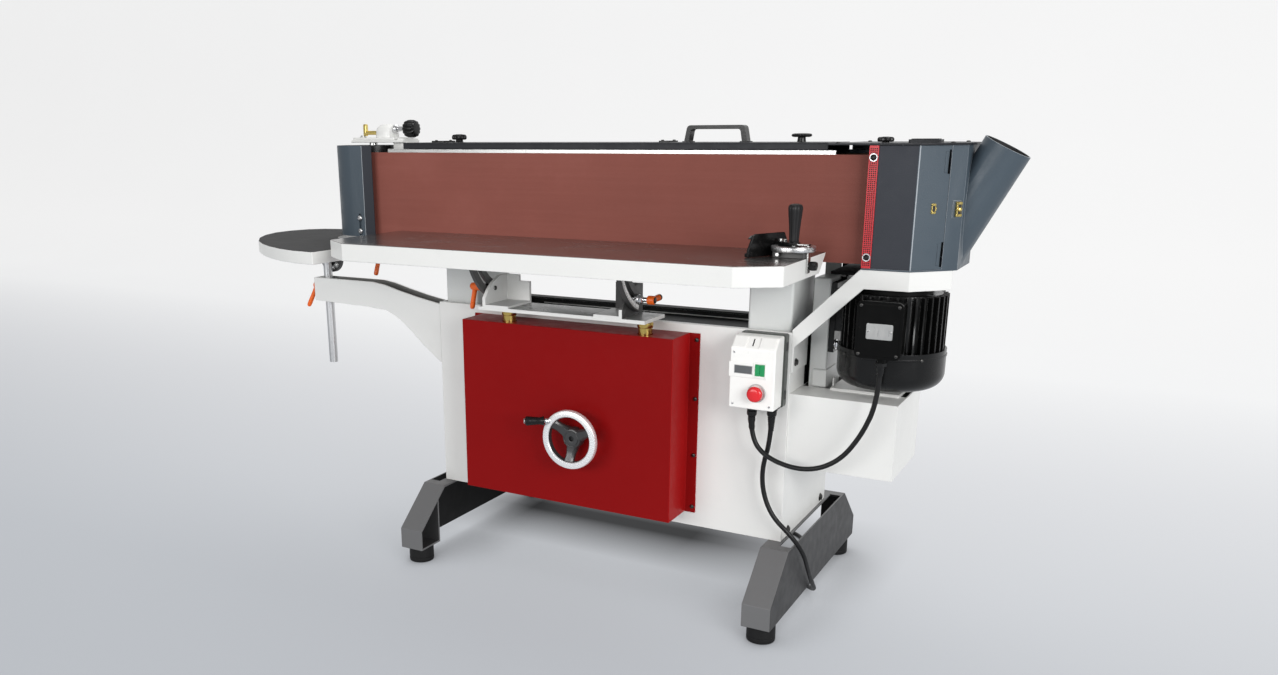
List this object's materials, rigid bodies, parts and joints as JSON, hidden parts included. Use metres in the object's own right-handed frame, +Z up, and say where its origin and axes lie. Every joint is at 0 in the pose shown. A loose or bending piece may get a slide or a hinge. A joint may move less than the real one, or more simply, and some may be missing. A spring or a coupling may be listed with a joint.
{
  "type": "oscillating edge sander",
  "caption": "Floor-standing oscillating edge sander with a long upright belt, a tilting lift table, a contour end table and a dust hood.",
  "frame": {"origin": "on the floor, under the middle of the machine's box without its mains cord", "axes": "+X along the belt from the idler end to the motor end, +Y away from the operator, +Z up"},
  "size_m": [1.8276, 0.9252, 1.047],
  "materials": {
    "cream_paint": "satin",
    "dark_red_paint": "satin",
    "bright_red_paint": "gloss",
    "slate_paint": "satin",
    "leg_paint": "satin",
    "black_paint": "satin",
    "table_iron": "polished top, painted edge",
    "grey_iron": "painted",
    "steel": "machined",
    "zinc_steel": "yellow zinc",
    "chrome": "polished",
    "brass": "satin",
    "aluminium": "cast",
    "abrasive": "cloth with grit",
    "rubber": "matte",
    "black_plastic": "matte",
    "white_plastic": "satin",
    "orange_plastic": "gloss",
    "green_plastic": "gloss",
    "red_plastic": "gloss"
  },
  "bodies": {
    "frame": {"cabinet": "cream_paint", "legs": "leg_paint", "rubber_feet": "rubber", "lift_cover": "dark_red_paint", "lift_bearings": "grey_iron", "guide_posts": "steel", "hood_arm": "cream_paint", "hood_shell": "slate_paint", "hood_lid": "slate_paint", "contour_arm": "cream_paint", "starter_base": "black_plastic", "starter_cover": "white_plastic", "drive_box": "cream_paint", "frame_fasteners": "steel", "motor_lead": "rubber", "mains_lead": "rubber", "mains_coil": "rubber", "mains_plug": "rubber"},
    "head": {"head_columns": "grey_iron", "head_beam": "grey_iron", "platen": "steel", "sanding_belt": "abrasive", "rear_guard": "slate_paint", "idler_base": "cream_paint", "motor_body": "black_paint", "junction_box": "black_paint", "motor_bracket": "grey_iron"},
    "carriage": {"idler_carriage": "cream_paint"},
    "idler": {"idler_drum": "rubber"},
    "tension": {"tension_knob": "black_plastic"},
    "tracking": {"tracking_lever": "brass"},
    "drive": {"drive_drum": "rubber", "motor_rotor": "steel"},
    "cover": {"top_cover": "slate_paint"},
    "cover_knob_l": {"star_knob_left": "black_plastic"},
    "cover_knob_r": {"top_knob_right": "black_plastic"},
    "guard": {"end_guard": "slate_paint"},
    "idler_lock": {"idler_lock_lever": "orange_plastic"},
    "door": {"hood_door": "slate_paint", "door_strip": "bright_red_paint"},
    "latch": {"hood_latch": "brass"},
    "lift": {"lift_plate": "cream_paint", "lift_posts": "zinc_steel"},
    "table": {"main_table": "table_iron", "table_trunnions": "grey_iron"},
    "tilt_l": {"tilt_lever_left": "orange_plastic"},
    "tilt_r": {"tilt_lever_right": "orange_plastic"},
    "mitre": {"mitre_base": "aluminium"},
    "fence": {"mitre_fence": "black_paint"},
    "mitre_grip": {"mitre_handle": "black_plastic"},
    "mitre_clamp": {"mitre_knob": "black_plastic"},
    "pole": {"contour_pole": "chrome"},
    "contour": {"contour_table": "table_iron", "contour_trunnion": "grey_iron"},
    "pole_clamp": {"pole_lever": "orange_plastic"},
    "wheel": {"handwheel": "chrome"},
    "grip": {"handwheel_grip": "black_plastic"},
    "screw": {"lift_screw": "steel"},
    "start": {"start_button": "green_plastic"},
    "stop": {"stop_button": "red_plastic"}
  },
  "joints": [
    {"name": "head_oscillation", "type": "slide", "parent": "frame", "child": "head", "axis": [0, 0, 1], "range_m": [0, 0.008], "deforming": ["motor_lead"]},
    {"name": "drive_spin", "type": "hinge", "parent": "head", "child": "drive", "pos_m": [0.70323, -0.009, 0.87], "axis": [0, 0, 1], "continuous": true},
    {"name": "belt_tension", "type": "slide", "parent": "head", "child": "carriage", "axis": [1, 0, 0], "range_m": [0, 0.008]},
    {"name": "idler_spin", "type": "hinge", "parent": "carriage", "child": "idler", "pos_m": [-0.59477, -0.009, 0.87], "axis": [0, 0, 1], "continuous": true},
    {"name": "tension_turn", "type": "hinge", "parent": "carriage", "child": "tension", "pos_m": [-0.50277, -0.009, 1.026], "axis": [1, 0, 0], "range_deg": [-5, 725]},
    {"name": "tracking_turn", "type": "hinge", "parent": "carriage", "child": "tracking", "pos_m": [-0.59077, -0.009, 1.017], "axis": [1, 0, 0], "range_deg": [-45, 45]},
    {"name": "cover_lift", "type": "slide", "parent": "head", "child": "cover", "axis": [0, 0, 1], "range_m": [0, 0.06]},
    {"name": "cover_knob_left_turn", "type": "hinge", "parent": "cover", "child": "cover_knob_l", "pos_m": [-0.32377, -0.023, 1.005], "axis": [0, 0, 1], "range_deg": [0, 360]},
    {"name": "cover_knob_right_turn", "type": "hinge", "parent": "cover", "child": "cover_knob_r", "pos_m": [0.50023, -0.023, 1.005], "axis": [0, 0, 1], "range_deg": [0, 360]},
    {"name": "end_guard_lift", "type": "slide", "parent": "head", "child": "guard", "axis": [0, 0, 1], "range_m": [0, 0.05]},
    {"name": "idler_lock_turn", "type": "hinge", "parent": "head", "child": "idler_lock", "pos_m": [-0.56077, -0.043, 0.715], "axis": [0, 1, 0], "range_deg": [-40, 40]},
    {"name": "door_draw", "type": "slide", "parent": "frame", "child": "door", "axis": [0, -1, 0], "range_m": [0, 0.08]},
    {"name": "latch_turn", "type": "hinge", "parent": "frame", "child": "latch", "pos_m": [0.80848, -0.03925, 0.874], "axis": [0.7071, -0.7071, 0], "range_deg": [0, 90]},
    {"name": "table_lift", "type": "slide", "parent": "frame", "child": "lift", "axis": [0, 0, 1], "range_m": [-0.006, 0.048]},
    {"name": "table_tilt", "type": "hinge", "parent": "lift", "child": "table", "pos_m": [0.08923, -0.084, 0.789], "axis": [1, 0, 0], "range_deg": [0, 45]},
    {"name": "tilt_lever_left_turn", "type": "hinge", "parent": "lift", "child": "tilt_l", "pos_m": [-0.20277, -0.14412, 0.67827], "axis": [1, 0, 0], "range_deg": [-45, 60]},
    {"name": "tilt_lever_right_turn", "type": "hinge", "parent": "lift", "child": "tilt_r", "pos_m": [0.22723, -0.14412, 0.67827], "axis": [1, 0, 0], "range_deg": [-10, 40]},
    {"name": "mitre_slide", "type": "slide", "parent": "table", "child": "mitre", "axis": [0, 1, 0], "range_m": [-0.06, 0.008]},
    {"name": "mitre_swing", "type": "hinge", "parent": "mitre", "child": "fence", "pos_m": [0.55223, -0.201, 0.81], "axis": [0, 0, 1], "range_deg": [-25, 27]},
    {"name": "mitre_handle_turn", "type": "hinge", "parent": "fence", "child": "mitre_grip", "pos_m": [0.55223, -0.201, 0.85], "axis": [0, 0, 1], "range_deg": [0, 360]},
    {"name": "mitre_knob_turn", "type": "hinge", "parent": "mitre", "child": "mitre_clamp", "pos_m": [0.59223, -0.201, 0.775], "axis": [1, 0, 0], "range_deg": [0, 360]},
    {"name": "contour_lift", "type": "slide", "parent": "frame", "child": "pole", "axis": [0, 0, 1], "range_m": [0, 0.13]},
    {"name": "contour_tilt", "type": "hinge", "parent": "pole", "child": "contour", "pos_m": [-0.71777, -0.051, 0.704], "axis": [0, -1, 0], "range_deg": [0, 40]},
    {"name": "pole_lever_turn", "type": "hinge", "parent": "frame", "child": "pole_clamp", "pos_m": [-0.75577, -0.07, 0.636], "axis": [1, 0, 0], "range_deg": [-50, 50]},
    {"name": "handwheel_turn", "type": "hinge", "parent": "frame", "child": "wheel", "pos_m": [0.08623, -0.225, 0.375], "axis": [0, 1, 0], "range_deg": [-221, 1733]},
    {"name": "grip_spin", "type": "hinge", "parent": "wheel", "child": "grip", "pos_m": [-0.00107, -0.252, 0.412], "axis": [-0.866, -0.5, 0], "continuous": true},
    {"name": "lift_screw_turn", "type": "hinge", "parent": "frame", "child": "screw", "pos_m": [0.08623, -0.153, 0.48], "axis": [0, 0, 1], "range_deg": [-221, 1733]},
    {"name": "start_press", "type": "slide", "parent": "frame", "child": "start", "axis": [0, 1, 0], "range_m": [0, 0.004], "stiffness_N_per_m": 600},
    {"name": "stop_press", "type": "slide", "parent": "frame", "child": "stop", "axis": [0, 1, 0], "range_m": [0, 0.004], "stiffness_N_per_m": 600}
  ],
  "couplings": [
    {"joint": "idler_spin", "follows": "drive_spin", "ratio": 1},
    {"joint": "tension_turn", "follows": "belt_tension", "rad_per_m": 1570.8},
    {"joint": "handwheel_turn", "follows": "table_lift", "rad_per_m": 628.32},
    {"joint": "lift_screw_turn", "follows": "table_lift", "rad_per_m": 628.32}
  ]
}
